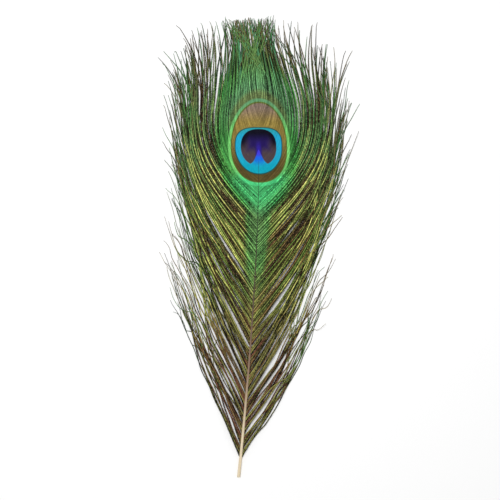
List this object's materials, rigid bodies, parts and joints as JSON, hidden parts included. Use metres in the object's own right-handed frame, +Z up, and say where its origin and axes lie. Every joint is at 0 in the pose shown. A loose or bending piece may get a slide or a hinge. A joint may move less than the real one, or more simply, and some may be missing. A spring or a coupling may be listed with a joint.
{
  "type": "peacock eye feather",
  "caption": "Trimmed peacock train feather lying flat: a slender bent shaft, an eye-marked vane at the fringed tip and long loose barbs down both sides.",
  "frame": {"origin": "centre of the underside of the bounding box, on the surface the feather lies on", "axes": "+Y towards the fringed tip, +X to the right seen from above with the tip up, +Z up out of the upper face"},
  "size_m": [0.103, 0.277, 0.0069],
  "materials": {
    "quill": "satin keratin, pale tan at the cut end and dark green towards the tip",
    "eye_barbs": "iridescent barbs: violet and blue eye in a cyan, bronze and green surround",
    "loose_barbs": "iridescent olive, gold and green barbs",
    "base_barbs": "brown barbs with a faint green sheen"
  },
  "bodies": {
    "root": {"shaft": "quill", "eye_vane_left": "eye_barbs", "eye_vane_right": "eye_barbs", "loose_barbs_left": "loose_barbs", "loose_barbs_right": "loose_barbs", "base_barbs_left": "base_barbs", "base_barbs_right": "base_barbs"}
  },
  "joints": []
}
